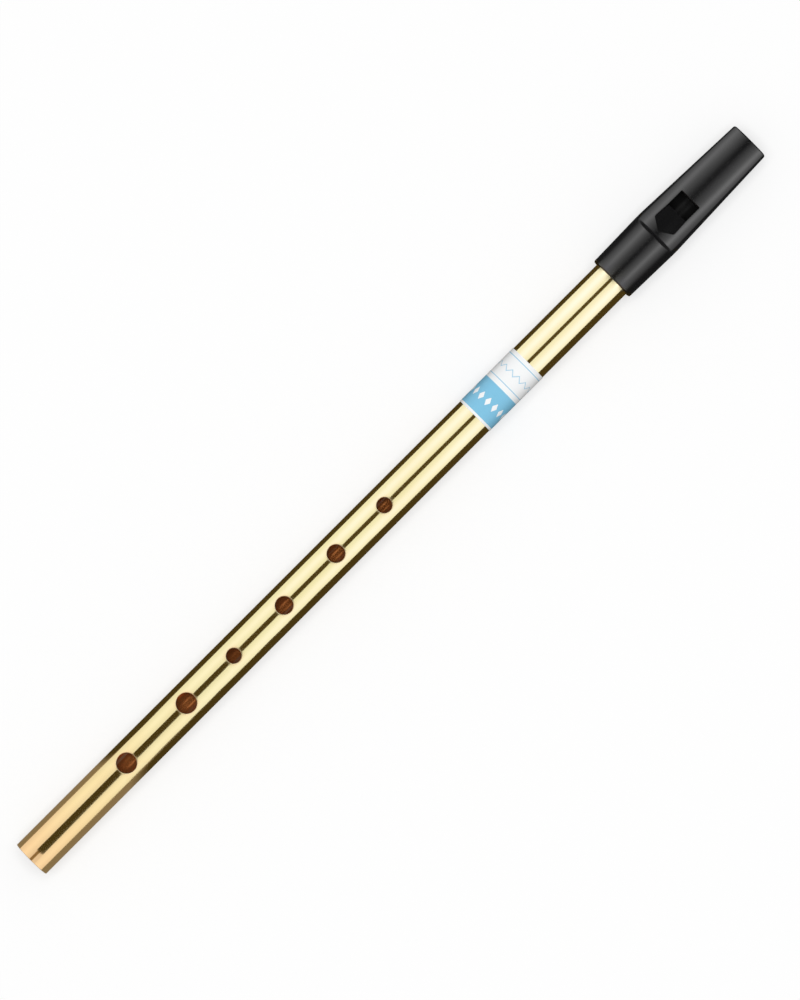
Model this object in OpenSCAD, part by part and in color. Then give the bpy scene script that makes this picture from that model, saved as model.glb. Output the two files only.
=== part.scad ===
// Tin whistle: a brass tube with six finger holes and a push-on moulded mouthpiece.
// The tube's axis is X, with the foot's open end at the origin and the beak towards +X.
// The finger holes, the window and the windway face +Z.

/* [Tube] */
// Length of the brass tube, from the foot to the end inside the socket
tube_length = 255; // [215:0.5:310]
// Outer diameter of the tube
tube_d = 12; // [10:0.1:14.4]
// Wall thickness of the tube
tube_wall = 0.4; // [0.3:0.05:0.6]
// Chamfer round the outside of both ends of the tube
edge_break = 0.1; // [0.05:0.01:0.12]

/* [Finger holes] */
// First finger hole: distance from the foot
hole_1_place = 39.5; // [30:0.1:48]
// First finger hole: diameter
hole_1_d = 6; // [4:0.1:7.5]
// Second finger hole: distance from the foot
hole_2_place = 64; // [56:0.1:72]
// Second finger hole: diameter
hole_2_d = 6.1; // [4:0.1:7.5]
// Third finger hole: distance from the foot
hole_3_place = 83.4; // [80:0.1:92]
// Third finger hole: diameter
hole_3_d = 4.5; // [4:0.1:7.5]
// Fourth finger hole: distance from the foot
hole_4_place = 104; // [100:0.1:112]
// Fourth finger hole: diameter
hole_4_d = 5.3; // [4:0.1:7.5]
// Fifth finger hole: distance from the foot
hole_5_place = 125.2; // [120:0.1:133]
// Fifth finger hole: diameter
hole_5_d = 5.3; // [4:0.1:7.5]
// Sixth finger hole: distance from the foot
hole_6_place = 145; // [141:0.1:152]
// Sixth finger hole: diameter
hole_6_d = 4.6; // [4:0.1:7.5]

/* [Socket] */
// Depth of the socket that the tube pushes into
socket_depth = 17.1; // [14:0.1:24]
// Distance from the tube's stop, at the bottom of the socket, to the shoulder where the beak starts
shoulder_past_stop = 0.4; // [0.3:0.1:2]
// Radial clearance between the tube and the socket
slide_clearance = 0.05; // [0.02:0.01:0.1]
// Wall thickness of the socket at its rim
rim_wall = 1.2; // [1:0.05:2]
// Wall thickness of the socket at the shoulder
shoulder_wall = 1.6; // [1.2:0.05:2.4]
// Rounding of the socket's rim
rim_rounding = 0.5; // [0.2:0.05:0.7]
// Chamfer of the socket's mouth
mouth_chamfer = 0.3; // [0.1:0.05:0.5]
// Step from the tube's bore in to the air chamber, which stops the tube
chamber_step = 0.1; // [0.05:0.05:0.4]
// How much narrower, in radius, the air chamber is at the fipple block than at the stop
chamber_draft = 0.15; // [0.1:0.05:0.3]

/* [Beak] */
// Length of the beak, from the shoulder to the tip
beak_length = 39.3; // [32:0.1:48]
// Length of the straight band between the shoulder and the beak's taper
shoulder_band = 1.9; // [0.5:0.1:3]
// Diameter of the beak's tip
tip_d = 12.5; // [11.5:0.1:15.2]
// Radius of the beak's flattened front
front_r = 10.2; // [9:0.1:14]
// How far the flattened front lies below the round taper at the shoulder
front_drop_shoulder = 1.45; // [1.1:0.05:1.6]
// How far the flattened front lies below the round taper at the tip
front_drop_tip = 2.25; // [1.7:0.05:2.4]
// Fillet between the shoulder and the flattened front
front_fillet = 1.1; // [0.5:0.1:1.5]
// Thickness of plastic around the fipple block at the tip
beak_wall = 1.4; // [1:0.05:1.8]
// Length of the lip bevel under the tip
lip_length = 13; // [8:0.5:16]
// Height that the lip bevel takes off at the tip
lip_drop = 2.3; // [1:0.1:2.8]
// Rounding of the tip
tip_rounding = 0.9; // [0.3:0.05:1]

/* [Window and windway] */
// Distance from the shoulder to the labium's edge
labium_place = 9.4; // [8.8:0.1:11]
// Length of the window along the whistle
window_length = 5.6; // [4.5:0.1:7]
// Width of the window
window_w = 7.2; // [6:0.1:8.4]
// Length of the ramp, from the labium's edge to its point
ramp_length = 7.7; // [6.2:0.1:8]
// Length of the ramp's pointed end
ramp_point = 2.5; // [2:0.1:3.2]
// Width of the ramp where its pointed end starts
ramp_w = 7.8; // [7.2:0.1:8.6]
// Depth of the ramp at its point
ramp_step = 0.25; // [0.1:0.05:0.4]
// Thickness of plastic under the ramp's point
ramp_wall = 0.9; // [0.6:0.05:1.2]
// Thickness of the labium's edge
labium_edge = 0.3; // [0.2:0.05:0.5]
// Width of the windway
windway_w = 7; // [5.8:0.1:8]
// Height of the windway where it meets the window
windway_exit_h = 1.15; // [0.9:0.05:1.4]
// Height of the windway at the tip
windway_entry_h = 1.5; // [1.2:0.05:1.8]
// Thickness of plastic over the windway's corners at the window
exit_roof_wall = 1.35; // [1:0.05:1.6]
// Thickness of plastic over the windway's corners at the tip
entry_roof_wall = 0.85; // [0.7:0.05:1.2]

/* [Fipple block] */
// Depth of the fipple block below the tube's axis
block_below = 2.6; // [2:0.1:2.8]
// Gap left for glue around the fipple block
block_glue_gap = 0.03; // [0.01:0.01:0.06]

/* [Label] */
// Distance from the socket's rim to the label
label_place = 34.3; // [20:0.1:45]
// Length of the label along the tube
label_length = 21.8; // [15:0.1:30]
// Gap between the label's two ends, at the back of the tube
label_seam = 1.8; // [0.5:0.1:12]
// Thickness of the label's film
label_film = 0.1; // [0.05:0.01:0.2]
// Thickness of the adhesive under the label
label_glue = 0.02; // [0.01:0.01:0.05]

/* [Hidden] */
$fn = 96;

// Length by which a cutting shape runs past the face that it cuts
past = 1;
// Steps in a rounded corner of an outline
corner_steps = 6;

tube_r = tube_d / 2;
tube_bore_r = tube_r - tube_wall;
finger_holes = [
    [hole_1_place, hole_1_d],
    [hole_2_place, hole_2_d],
    [hole_3_place, hole_3_d],
    [hole_4_place, hole_4_d],
    [hole_5_place, hole_5_d],
    [hole_6_place, hole_6_d],
];

// Places along the whistle
rim_x = tube_length - socket_depth;
shoulder_x = tube_length + shoulder_past_stop;
taper_x = shoulder_x + shoulder_band;
tip_x = shoulder_x + beak_length;
labium_x = shoulder_x + labium_place;
block_x = labium_x + window_length;
ramp_point_x = labium_x - ramp_length;

// Radii of the mouthpiece
socket_r = tube_r + slide_clearance;
rim_r = socket_r + rim_wall;
shoulder_r = socket_r + shoulder_wall;
tip_r = tip_d / 2;
block_seat_r = tip_r - beak_wall;
chamber_r = tube_bore_r - chamber_step;

// Heights above the axis, of the beak's front, the windway, the labium and the lip
front_shoulder_z = shoulder_r - front_drop_shoulder;
front_tip_z = tip_r - front_drop_tip;
front_tilt = atan2(front_shoulder_z - front_tip_z, beak_length);
exit_roof_z = front_z(block_x, windway_w / 2) - exit_roof_wall;
entry_roof_z = front_z(tip_x, windway_w / 2) - entry_roof_wall;
exit_floor_z = exit_roof_z - windway_exit_h;
entry_floor_z = entry_roof_z - windway_entry_h;
labium_under_z = exit_floor_z + (windway_exit_h - labium_edge) / 2;
labium_top_z = labium_under_z + labium_edge;
ramp_point_z = front_z(ramp_point_x, 0) - ramp_step;
lip_z = lip_drop - tip_r;

label_r = tube_r + label_glue;
seam_angle = label_seam / label_r * 180 / PI;
label_x = rim_x - label_place - label_length;

// A value that changes evenly from one place along the whistle to the tip
function along_beak(x, from_x, from, at_tip) = from + (at_tip - from) * (x - from_x) / (tip_x - from_x);

// Height of the beak's flattened front above the axis, at a distance to the side
function front_z(x, side) =
    along_beak(x, shoulder_x, front_shoulder_z, front_tip_z) - front_r + sqrt(pow(front_r, 2) - pow(side, 2));

// Points of a rounded corner, as [radius, place] pairs, from one angle to another
function corner(r, x, rounding, from, to) = [
    for (i = [0 : corner_steps])
        let (a = from + (to - from) * i / corner_steps)
        [r + rounding * cos(a), x + rounding * sin(a)]
];

// Turns an outline of [radius, place] pairs into a solid round the X axis
module turned(angle = 360) {
    rotate([0, 90, 0])
        rotate_extrude(angle = angle)
            children();
}

// A rod along the X axis
module rod(r, from, to) {
    translate([from, 0, 0])
        rotate([0, 90, 0])
            cylinder(r = r, h = to - from);
}

// An outline of [x, z] pairs made into a plate of the given width, centred on the axis
module plate(width) {
    rotate([90, 0, 0])
        linear_extrude(width, center = true)
            children();
}

module body_tube() {
    outline = [
        [tube_bore_r, 0],
        [tube_r - edge_break, 0],
        [tube_r, edge_break],
        [tube_r, tube_length - edge_break],
        [tube_r - edge_break, tube_length],
        [tube_bore_r, tube_length],
    ];
    color("goldenrod")
        difference() {
            turned() polygon(outline);
            for (hole = finger_holes)
                translate([hole[0], 0, 0])
                    cylinder(d = hole[1], h = tube_r + past);
        }
}

// The outside of the socket and the beak, whose flattened front steps down from the shoulder
module mouthpiece_outside() {
    outline = concat(
        [[0, rim_x]],
        corner(rim_r - rim_rounding, rim_x + rim_rounding, rim_rounding, -90, 0),
        [[shoulder_r, shoulder_x], [shoulder_r, taper_x]],
        corner(tip_r - tip_rounding, tip_x - tip_rounding, tip_rounding, 0, 90),
        [[0, tip_x]]
    );
    difference() {
        turned() polygon(outline);
        above_front();
    }
}

// Everything above the beak's flattened front, past the shoulder. The fillet starts at 45 degrees to the front
module above_front() {
    fillet_x = front_fillet * sin(45);
    fillet = corner(front_r + front_fillet, fillet_x, front_fillet, 225, 180);
    below = concat(
        [[0, -past], [fillet[0][0] + past, -past]],
        fillet,
        [[front_r, beak_length + 2 * past], [0, beak_length + 2 * past]]
    );
    difference() {
        translate([shoulder_x, -shoulder_r, 0])
            cube([beak_length + past, 2 * shoulder_r, shoulder_r + past]);
        translate([shoulder_x, 0, front_shoulder_z])
            rotate([0, front_tilt, 0])
                translate([0, 0, -front_r])
                    turned() polygon(below);
    }
}

module socket_hole() {
    rod(socket_r, rim_x - past, tube_length);
    outline = [
        [0, rim_x - past],
        [socket_r + mouth_chamfer + past, rim_x - past],
        [socket_r, rim_x + mouth_chamfer],
        [0, rim_x + mouth_chamfer],
    ];
    turned() polygon(outline);
}

// The air chamber between the tube's end and the fipple block, with its ceiling sloping down to the labium
module chamber() {
    outline = [
        [tube_length - past, -tube_r],
        [tube_length - past, tube_r],
        [ramp_point_x, ramp_point_z - ramp_wall],
        [labium_x, labium_under_z],
        [labium_x, tube_r],
        [block_x, tube_r],
        [block_x, -tube_r],
    ];
    intersection() {
        translate([tube_length, 0, 0])
            rotate([0, 90, 0])
                cylinder(r1 = chamber_r, r2 = chamber_r - chamber_draft, h = block_x - tube_length);
        plate(tube_d) polygon(outline);
    }
}

module window() {
    translate([labium_x, -window_w / 2, labium_under_z])
        cube([window_length, window_w, shoulder_r]);
}

module ramp() {
    plan = [
        [labium_x, window_w / 2],
        [ramp_point_x + ramp_point, ramp_w / 2],
        [ramp_point_x, 0],
        [ramp_point_x + ramp_point, -ramp_w / 2],
        [labium_x, -window_w / 2],
    ];
    slope = [
        [ramp_point_x, ramp_point_z],
        [labium_x, labium_top_z],
        [labium_x, shoulder_r + past],
        [ramp_point_x, shoulder_r + past],
    ];
    intersection() {
        linear_extrude(shoulder_r + past) polygon(plan);
        plate(ramp_w) polygon(slope);
    }
}

module windway() {
    outline = [
        [block_x, exit_floor_z],
        [block_x, exit_roof_z],
        [tip_x, entry_roof_z],
        [tip_x, entry_floor_z],
    ];
    plate(windway_w) polygon(outline);
}

// The space of the fipple block: a rod with a flat bottom and the windway's floor as its top
module block_space(gap) {
    outline = [
        [block_x, gap - block_below],
        [block_x, exit_floor_z],
        [tip_x, entry_floor_z],
        [tip_x, gap - block_below],
    ];
    intersection() {
        rod(block_seat_r - gap, block_x, tip_x);
        plate(tip_d) polygon(outline);
    }
}

module lip_bevel() {
    bevel_x = tip_x - lip_length;
    outline = [
        [bevel_x, -along_beak(bevel_x, taper_x, shoulder_r, tip_r)],
        [tip_x, lip_z],
        [tip_x + past, lip_z],
        [tip_x + past, -shoulder_r],
        [bevel_x, -shoulder_r],
    ];
    plate(2 * shoulder_r) polygon(outline);
}

module mouthpiece() {
    color("#1c1c1c")
        difference() {
            mouthpiece_outside();
            socket_hole();
            chamber();
            window();
            ramp();
            windway();
            block_space(0);
            lip_bevel();
        }
}

module fipple_block() {
    color("#303030") block_space(block_glue_gap);
}

module label_sticker() {
    color("skyblue")
        rotate([seam_angle / 2, 0, 0])
            turned(360 - seam_angle)
                translate([label_r, label_x])
                    square([label_film, label_length]);
}

body_tube();
mouthpiece();
fipple_block();
label_sticker();
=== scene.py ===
from math import acos, atan2, ceil, cos, degrees, exp, hypot, pi, radians, sin, sqrt

import bmesh
import bpy
from mathutils import Matrix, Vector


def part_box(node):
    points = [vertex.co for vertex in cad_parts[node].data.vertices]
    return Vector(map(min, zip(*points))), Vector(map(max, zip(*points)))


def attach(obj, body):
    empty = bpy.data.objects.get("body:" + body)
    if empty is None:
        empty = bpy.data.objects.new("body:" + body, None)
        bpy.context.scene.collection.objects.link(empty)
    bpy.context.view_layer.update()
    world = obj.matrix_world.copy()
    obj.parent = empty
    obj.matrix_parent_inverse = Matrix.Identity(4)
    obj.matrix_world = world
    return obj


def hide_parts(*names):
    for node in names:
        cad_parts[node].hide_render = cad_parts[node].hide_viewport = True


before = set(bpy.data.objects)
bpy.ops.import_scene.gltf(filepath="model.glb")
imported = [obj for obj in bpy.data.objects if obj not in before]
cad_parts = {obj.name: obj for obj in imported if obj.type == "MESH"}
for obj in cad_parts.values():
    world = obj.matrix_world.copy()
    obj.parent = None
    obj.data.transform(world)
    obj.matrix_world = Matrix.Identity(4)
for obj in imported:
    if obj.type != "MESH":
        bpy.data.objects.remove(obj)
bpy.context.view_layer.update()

# Shapes are worked out in millimetres and scaled to metres when a mesh is made.
# X runs along the whistle from the foot to the beak, and +Z is the side of the finger holes.
# An angle round the whistle is in degrees from +Z, and grows towards +Y.
MM = 0.001


def node_box(node):
    """Lowest and highest corners of a CAD node, in millimetres"""
    return [[value / MM for value in corner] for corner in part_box(node)]


# Sizes that the frame gives
(FOOT_X, _, _), (TUBE_END_X, TUBE_R, _) = node_box("body_tube")
(RIM_X, _, LOWEST_Z), (TIP_X, SHOULDER_R, _) = node_box("mouthpiece")
(BLOCK_X, _, BLOCK_BOTTOM_Z), (_, BLOCK_R, _) = node_box("fipple_block")
(LABEL_X, _, _), (LABEL_END_X, LABEL_R, _) = node_box("label_sticker")

# Sizes of the tube. Finger holes are (distance from the foot, diameter)
TUBE_WALL = 0.4
BORE_R = TUBE_R - TUBE_WALL
FINGER_HOLES = [(39.5, 6), (64, 6.1), (83.4, 4.5), (104, 5.3), (125.2, 5.3), (145, 4.6)]
TUBE_LIP = 0.12
HOLE_LIP = 0.15

# Sizes of the head's outside
RIM_R = 7.25
TIP_R = 6.25
SHOULDER_PAST_STOP = 0.4
SHOULDER_BAND = 1.9
SHOULDER_X = TUBE_END_X + SHOULDER_PAST_STOP
TAPER_X = SHOULDER_X + SHOULDER_BAND
FRONT_R = 10.2
FRONT_DROP_SHOULDER = 1.45
FRONT_DROP_TIP = 2.25
FRONT_SHOULDER_Z = SHOULDER_R - FRONT_DROP_SHOULDER
FRONT_TIP_Z = TIP_R - FRONT_DROP_TIP
LIP_LENGTH = 13
LIP_DROP = 2.3
LIP_START_X = TIP_X - LIP_LENGTH
LIP_START_Z = -6.73
LIP_TIP_Z = LIP_DROP - TIP_R
CREASE = 0.15
RIM_ROUNDING = 0.5
TIP_ROUNDING = 0.55
FLAT_ROUNDING = 0.25

# The step from the socket down to the beak's front. It is longer in front than at the sides
STEP_FRONT_ANGLE, STEP_SIDE_ANGLE = 30, 58
STEP_FRONT_START_X, STEP_FRONT_END_X = SHOULDER_X - 0.55, SHOULDER_X + 0.42
STEP_SIDE_START_X, STEP_SIDE_END_X = SHOULDER_X - 0.2, SHOULDER_X + 0.5
STEP_SOFT = 0.22

# Sizes of the head's inside, the window and the ramp
SLIDE_CLEARANCE = 0.05
SOCKET_R = TUBE_R + SLIDE_CLEARANCE
SOCKET_CHAMFER = 0.3
CHAMBER_STEP = 0.1
CHAMBER_DRAFT = 0.15
CHAMBER_R = BORE_R - CHAMBER_STEP
CHAMBER_END_R = CHAMBER_R - CHAMBER_DRAFT
WINDOW_HALF = 3.6
WINDOW_LENGTH = 5.6
RAMP_LENGTH = 7.7
RAMP_POINT = 2.5
LABIUM_X = BLOCK_X - WINDOW_LENGTH
RAMP_X = LABIUM_X - RAMP_LENGTH
RAMP_CORNER_X = RAMP_X + RAMP_POINT
RAMP_HALF = 3.9
RAMP_STEP = 0.25
RAMP_WALL = 0.9
WINDOW_CORNER, RAMP_CORNER = 0.3, 0.5
WINDOW_SINK = 0.3
LABIUM_EDGE = 0.3
OPENING_LIP = 0.12
WINDWAY_HALF = 3.5
EXIT_H, EXIT_ROOF_WALL = 1.15, 1.35
ENTRY_H, ENTRY_ROOF_WALL = 1.5, 0.85
# A cutter reaches past the outside by the first of these, and into the space beside it by the second
CUT_PAST, CUT_OVERLAP = 1, 0.05
# An upright wall leans by this much, so that its top and its bottom are separate rows of points
LEAN = 0.01

# Sizes of the label
LABEL_FILM = 0.1
LABEL_SEAM = 1.8
LABEL_CORNER_R = 0.9
LABEL_LIP = 0.03


# Camera: above the whistle, which crosses the picture from corner to corner and is rolled a little to +Y
CAMERA_AIM_X, CAMERA_AIM_Y = 149.26, -1.90
CAMERA_DISTANCE = 2033
CAMERA_ROLL = 2.5
CAMERA_TURN = -45
CAMERA_LENS = 168.2
camera_data = bpy.data.cameras.new("photo_camera")
camera_data.sensor_fit = "VERTICAL"
camera_data.sensor_height = 24
camera_data.lens = CAMERA_LENS
camera = bpy.data.objects.new("photo_camera", camera_data)
camera_y = CAMERA_AIM_Y - CAMERA_DISTANCE * sin(radians(CAMERA_ROLL))
camera_z = CAMERA_DISTANCE * cos(radians(CAMERA_ROLL))
camera.location = (CAMERA_AIM_X * MM, camera_y * MM, camera_z * MM)
camera_turn = Matrix.Rotation(radians(CAMERA_ROLL), 3, "X") @ Matrix.Rotation(radians(CAMERA_TURN), 3, "Z")
camera.rotation_euler = camera_turn.to_euler()
bpy.context.scene.collection.objects.link(camera)
bpy.context.scene.camera = camera


# Mesh helpers

# A row of points this far from a rounding keeps the shading of the long faces beside it straight
BESIDE = 0.15
# Points nearer to each other than this are welded, first in a new mesh and then after a cut
WELD, CUT_WELD = 0.002, 0.0005


def mix(a, b, share):
    return a + (b - a) * share


def between(value, *pairs):
    """A value read off straight lines between (place, value) pairs, whose places grow"""
    (first, result), *rest = pairs
    if value <= first:
        return result
    for place, level in rest:
        if value <= place:
            return mix(result, level, (value - first) / (place - first))
        first, result = place, level
    return result


def steps(low, high, count):
    """Evenly spaced values from low to high, both included"""
    return [mix(low, high, i / count) for i in range(count + 1)]


def spans(low, high, longest):
    """Evenly spaced values from low to high, no further apart than longest"""
    return steps(low, high, max(1, ceil((high - low) / longest)))


def round_point(x, angle, r):
    """The point at a radius from the axis"""
    return (x, r * sin(radians(angle)), r * cos(radians(angle)))


def smooth_least(a, b, width):
    """The lesser of two lengths, rounded off where they are nearly the same"""
    near = max(width - abs(a - b), 0) / width
    return min(a, b) - near * near * width / 4


def rounding(distance, r):
    """How far a rounded corner of radius r lies inside its sharp one, at a distance from the end"""
    if distance >= r:
        return 0
    return r - sqrt(max(r * r - (r - distance) ** 2, 0))


class Skin:
    """Patches of quads, whose shared edges are welded when the mesh is made"""

    def __init__(self):
        self.points = []
        self.faces = []
        self.marks = {}

    def patch(self, rows, **marks):
        """Adds the quads between rows of points. Each mark is one number, or one for each row"""
        first = len(self.points)
        width = len(rows[0])
        for row in rows:
            self.points.extend(row)
        for name, value in marks.items():
            values = value if isinstance(value, list) else [value] * len(rows)
            for r, number in enumerate(values):
                for c in range(width):
                    self.marks.setdefault(name, {})[first + r * width + c] = number
        for r in range(len(rows) - 1):
            for c in range(width - 1):
                corner = first + r * width + c
                self.faces.append((corner, corner + 1, corner + width + 1, corner + width))

    def cap(self, row):
        """Closes a ring of points, whose last repeats its first, with one face"""
        first = len(self.points)
        self.points.extend(row[:-1])
        self.faces.append(tuple(range(first, len(self.points))))

    def make(self, name, sharp_angle=35):
        """The welded mesh as a new object in the scene"""
        mesh = bpy.data.meshes.new(name)
        mesh.from_pydata([[value * MM for value in point] for point in self.points], [], self.faces)
        for mark, values in self.marks.items():
            attribute = mesh.attributes.new(mark, "FLOAT", "POINT")
            for index, number in values.items():
                attribute.data[index].value = number
        work = bmesh.new()
        work.from_mesh(mesh)
        bmesh.ops.remove_doubles(work, verts=work.verts, dist=WELD * MM)
        bmesh.ops.dissolve_degenerate(work, edges=work.edges, dist=WELD / 2 * MM)
        bmesh.ops.recalc_face_normals(work, faces=work.faces)
        work.to_mesh(mesh)
        work.free()
        smooth(mesh, sharp_angle)
        piece = bpy.data.objects.new(name, mesh)
        bpy.context.scene.collection.objects.link(piece)
        return piece


def smooth(mesh, sharp_angle):
    """Shades a mesh smoothly, apart from edges sharper than an angle"""
    mesh.shade_smooth()
    mesh.set_sharp_from_angle(angle=radians(sharp_angle))


def cut(piece, cutters):
    """Takes the cutters out of a piece, and removes them from the scene"""
    for cutter in cutters:
        modifier = piece.modifiers.new("cut", "BOOLEAN")
        modifier.operation = "DIFFERENCE"
        modifier.solver = "EXACT"
        modifier.object = cutter
    shape = piece.evaluated_get(bpy.context.evaluated_depsgraph_get())
    mesh = bpy.data.meshes.new_from_object(shape)
    work = bmesh.new()
    work.from_mesh(mesh)
    bmesh.ops.remove_doubles(work, verts=work.verts, dist=CUT_WELD * MM)
    work.to_mesh(mesh)
    work.free()
    piece.modifiers.clear()
    piece.data = mesh
    for cutter in cutters:
        bpy.data.objects.remove(cutter)


# Brass tube

# Columns round the tube: the first ones cross the top, where the finger holes are
TOP_HALF = 45
TOP_COLUMNS = 48
ROUND_COLUMNS = 4 * TOP_COLUMNS
TUBE_ANGLES = steps(-TOP_HALF, 360 - TOP_HALF, ROUND_COLUMNS)
TILE_HALF = 4.6
TILE_ROWS = 24
PLAIN_SPAN = 6
LIP_STEPS = 4


def tube_rows(xs, angles, r):
    return [[round_point(x, angle, r) for angle in angles] for x in xs]


def tile_edge(xs, columns):
    """The (x, column) pairs once round the edge of a patch of rows and columns, back to the first"""
    edge = [(xs[0], column) for column in columns[:-1]]
    edge += [(x, columns[-1]) for x in xs[:-1]]
    edge += [(xs[-1], column) for column in columns[:0:-1]]
    edge += [(x, columns[0]) for x in xs[::-1]]
    return edge


def tube_hole(skin, hole_x, hole_r, xs):
    """The top of the tube round a finger hole, outside and inside, with the hole's rounded lip and wall"""
    edge = tile_edge(xs, TUBE_ANGLES[: TOP_COLUMNS + 1])

    def ring(tube_r, reach, lip, depth=0):
        """A ring of points, from the tile's edge at reach 0 to the hole widened by lip at reach 1"""
        row = []
        for x, angle in edge:
            side = tube_r * sin(radians(angle))
            turn = atan2(side, x - hole_x)
            px = mix(x, hole_x + (hole_r + lip) * cos(turn), reach)
            py = mix(side, (hole_r + lip) * sin(turn), reach)
            row.append((px, py, sqrt(tube_r**2 - py**2) - depth))
        return row

    reaches = [0, 0.25, 0.5, 0.7, 0.85, 0.94, 1]
    rows = [ring(TUBE_R, reach, HOLE_LIP) for reach in reaches]
    rims = [reach**6 for reach in reaches]
    for turn in steps(0, 90, LIP_STEPS)[1:]:
        bend = radians(turn)
        rows.append(ring(TUBE_R, 1, HOLE_LIP * (1 - sin(bend)), HOLE_LIP * (1 - cos(bend))))
        rims.append(1)
    outside = len(rows)
    rows += [ring(BORE_R, reach, 0) for reach in reaches[::-1]]
    inner = len(rows) - outside
    skin.patch(rows, rim=rims + [0] * inner, inside=[0] * (outside - 1) + [0.6] + [1] * inner)


def brass_tube():
    skin = Skin()
    start, end = FOOT_X + TUBE_LIP, TUBE_END_X - TUBE_LIP
    for r, inside in ((TUBE_R, 0), (BORE_R, 1)):
        skin.patch(tube_rows([start, start + BESIDE], TUBE_ANGLES, r), inside=inside)
        skin.patch(tube_rows([end - BESIDE, end], TUBE_ANGLES, r), inside=inside)
    plain_from = start + BESIDE
    for hole_x, hole_d in FINGER_HOLES:
        tile_xs = steps(hole_x - TILE_HALF, hole_x + TILE_HALF, TILE_ROWS)
        for r, inside in ((TUBE_R, 0), (BORE_R, 1)):
            skin.patch(tube_rows(spans(plain_from, tile_xs[0], PLAIN_SPAN), TUBE_ANGLES, r), inside=inside)
            skin.patch(tube_rows(tile_xs, TUBE_ANGLES[TOP_COLUMNS:], r), inside=inside)
        tube_hole(skin, hole_x, hole_d / 2, tile_xs)
        plain_from = tile_xs[-1]
    for r, inside in ((TUBE_R, 0), (BORE_R, 1)):
        skin.patch(tube_rows(spans(plain_from, end - BESIDE, PLAIN_SPAN), TUBE_ANGLES, r), inside=inside)
    for end_x, inward in ((FOOT_X, 1), (TUBE_END_X, -1)):
        rows = []
        for turn in steps(0, 90, LIP_STEPS):
            back = TUBE_LIP * (1 - sin(radians(turn)))
            r = TUBE_R - TUBE_LIP * (1 - cos(radians(turn)))
            rows.append([round_point(end_x + inward * back, angle, r) for angle in TUBE_ANGLES])
        for turn in steps(0, 90, LIP_STEPS):
            back = TUBE_LIP * (1 - cos(radians(turn)))
            r = BORE_R + TUBE_LIP * (1 - sin(radians(turn)))
            rows.append([round_point(end_x + inward * back, angle, r) for angle in TUBE_ANGLES])
        skin.patch(rows, rim=1, inside=[0] * (LIP_STEPS + 1) + [0.5] * LIP_STEPS + [1])
    return skin.make("brass_tube")


# Moulded head

# Columns round the head: the first ones cross the front, where the window is
FRONT_HALF = 40
FRONT_COLUMNS = 32
CREASE_END = 80
CREASE_COLUMNS = 30
BACK_COLUMNS = 96
HEAD_ANGLES = (
    steps(-FRONT_HALF, FRONT_HALF, FRONT_COLUMNS)
    + steps(FRONT_HALF, CREASE_END, CREASE_COLUMNS)[1:]
    + steps(CREASE_END, 360 - CREASE_END, BACK_COLUMNS)[1:]
    + steps(360 - CREASE_END, 360 - FRONT_HALF, CREASE_COLUMNS)[1:]
)
OPENING_TILE_START_X = RAMP_X - 0.85
OPENING_TILE_END_X = BLOCK_X + 1.1
SIDE_SEGMENTS = 40
WINDOW_SEGMENTS = 22
CORNER_STEPS = 6
SOCKET_SPAN, STEP_SPAN, BEAK_SPAN = 2.5, 0.05, 1.4
AIR_COLUMNS = 128
BLOCK_COLUMNS = 40
BLOCK_SPAN, BLOCK_SPACE_SPAN = 2, 3


def beak_share(x):
    """How far along the beak a place is, from 0 at the shoulder to 1 at the tip"""
    return (x - SHOULDER_X) / (TIP_X - SHOULDER_X)


def step_share(x, angle):
    """How far down the step from the socket to the beak's front a place is"""
    turn = abs((angle + 180) % 360 - 180)
    start = between(turn, (STEP_FRONT_ANGLE, STEP_FRONT_START_X), (STEP_SIDE_ANGLE, STEP_SIDE_START_X))
    end = between(turn, (STEP_FRONT_ANGLE, STEP_FRONT_END_X), (STEP_SIDE_ANGLE, STEP_SIDE_END_X))
    down = -smooth_least((start - x) / (end - start), 0, STEP_SOFT)
    return smooth_least(down, 1, STEP_SOFT)


def beak_r(x, angle):
    """Radius of the beak's outside: a round taper with a flattened front and a lip bevel"""
    share = beak_share(x)
    up = cos(radians(angle))
    tip_inset = rounding(TIP_X - x, FLAT_ROUNDING)
    centre = mix(FRONT_SHOULDER_Z, FRONT_TIP_Z, share) - FRONT_R
    front = centre * up + sqrt((centre * up) ** 2 - centre**2 + FRONT_R**2)
    taper = max(0, x - TAPER_X) / (TIP_X - TAPER_X)
    r = mix(SHOULDER_R, TIP_R, taper) - rounding(TIP_X - x, TIP_ROUNDING)
    r = smooth_least(r, front - tip_inset, CREASE)
    if up < 0:
        lip_z = mix(LIP_START_Z, LIP_TIP_Z, (x - LIP_START_X) / (TIP_X - LIP_START_X))
        r = smooth_least(r, lip_z / up - tip_inset, CREASE)
    return r


def shoulder_r(x, angle):
    """Radius of the head's outside from the rim to the step down to the beak"""
    share = min(1, (x - RIM_X) / (SHOULDER_X - RIM_X))
    socket = mix(RIM_R, SHOULDER_R, share) - rounding(x - RIM_X, RIM_ROUNDING)
    return mix(socket, beak_r(x, angle), step_share(x, angle))


def beak_point(x, angle):
    return round_point(x, angle, beak_r(x, angle))


def front_z(x, side):
    """Height of the beak's flattened front, at a distance to the side"""
    return mix(FRONT_SHOULDER_Z, FRONT_TIP_Z, beak_share(x)) - FRONT_R + sqrt(FRONT_R**2 - side**2)


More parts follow.
